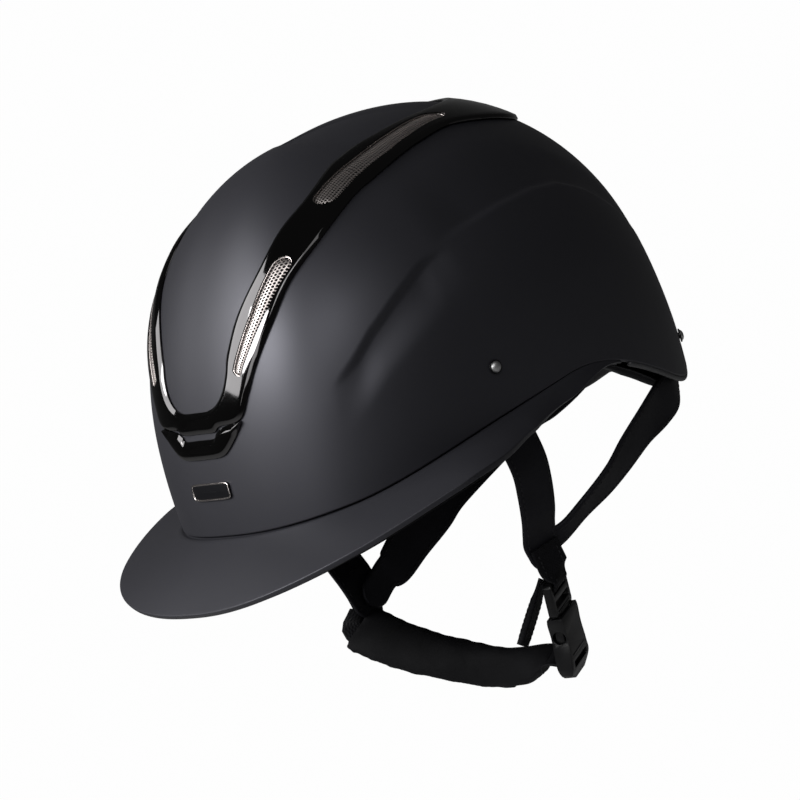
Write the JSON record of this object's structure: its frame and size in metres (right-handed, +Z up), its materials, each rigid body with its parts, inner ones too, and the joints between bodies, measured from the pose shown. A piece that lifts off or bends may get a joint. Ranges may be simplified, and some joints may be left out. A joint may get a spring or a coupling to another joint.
{
  "type": "wide brim riding helmet",
  "caption": "Horse riding helmet with a wide brim, glossy vent trim with mesh grilles, and a harness with padded chin strap and side-release buckle.",
  "frame": {"origin": "middle of the head cavity's width, at the level of the seam between shell and brim at the brow, 118 mm behind the brow", "axes": "+Z up with the helmet level as worn, the brim points to -Y, +X is the wearer's left"},
  "size_m": [0.2712, 0.3166, 0.2955],
  "materials": {
    "shell": "soft-touch matte",
    "brim": "soft-touch matte",
    "lining": "smooth synthetic leather",
    "beading": "matte piping",
    "liner": "expanded foam",
    "trim": "high gloss lacquer",
    "mesh": "dark bronzed, perforated",
    "badge": "matte with a polished border",
    "rivet": "black painted",
    "washer": "plain",
    "pad": "wicking mesh fabric",
    "strap": "stitched synthetic leather",
    "webbing": "woven nylon",
    "buckle": "moulded acetal"
  },
  "bodies": {
    "helmet": {"outer_shell": "shell", "brim": "brim", "brim_lining": "lining", "rim_beading": "beading", "impact_liner": "liner", "vent_trim": "trim", "front_scoop": "trim", "mesh_low_left": "mesh", "mesh_low_right": "mesh", "mesh_high_left": "mesh", "mesh_high_right": "mesh", "mesh_rear": "mesh", "badge_plate": "badge", "rivets": "rivet", "rivet_washers": "washer", "brow_band": "pad", "crown_pad": "pad", "front_strap_left": "strap", "front_strap_right": "strap", "rear_strap_left": "strap", "rear_strap_right": "strap"},
    "hanger": {"hanger_strap": "webbing", "buckle_ladder": "buckle"},
    "tail": {"strap_tail": "webbing"},
    "catch_front": {"prong_front": "buckle"},
    "catch_back": {"prong_back": "buckle"},
    "chin": {"buckle_socket": "buckle", "chin_strap": "webbing", "chin_pad": "pad"}
  },
  "joints": [
    {"name": "chin_swing", "type": "hinge", "parent": "helmet", "child": "hanger", "pos_m": [0.0735, 0.001, -0.07], "axis": [0.9935, 0.1085, 0.0339], "range_deg": [-25, 18]},
    {"name": "tail_swing", "type": "hinge", "parent": "hanger", "child": "tail", "pos_m": [0.0688, -0.0028, -0.08356], "axis": [-0.7686, 0.5144, -0.3803], "range_deg": [0, 30]},
    {"name": "squeeze_front", "type": "hinge", "parent": "hanger", "child": "catch_front", "pos_m": [0.07467, -0.00838, -0.10279], "axis": [0.818, 0.5433, -0.1888], "range_deg": [0, 6], "stiffness_Nm_per_rad": 1},
    {"name": "squeeze_back", "type": "hinge", "parent": "hanger", "child": "catch_back", "pos_m": [0.06522, 0.0061, -0.10209], "axis": [-0.818, -0.5433, 0.1888], "range_deg": [0, 6], "stiffness_Nm_per_rad": 1},
    {"name": "buckle_release", "type": "slide", "parent": "hanger", "child": "chin", "axis": [-0.1801, -0.0698, -0.9812], "range_m": [0, 0.022]}
  ]
}
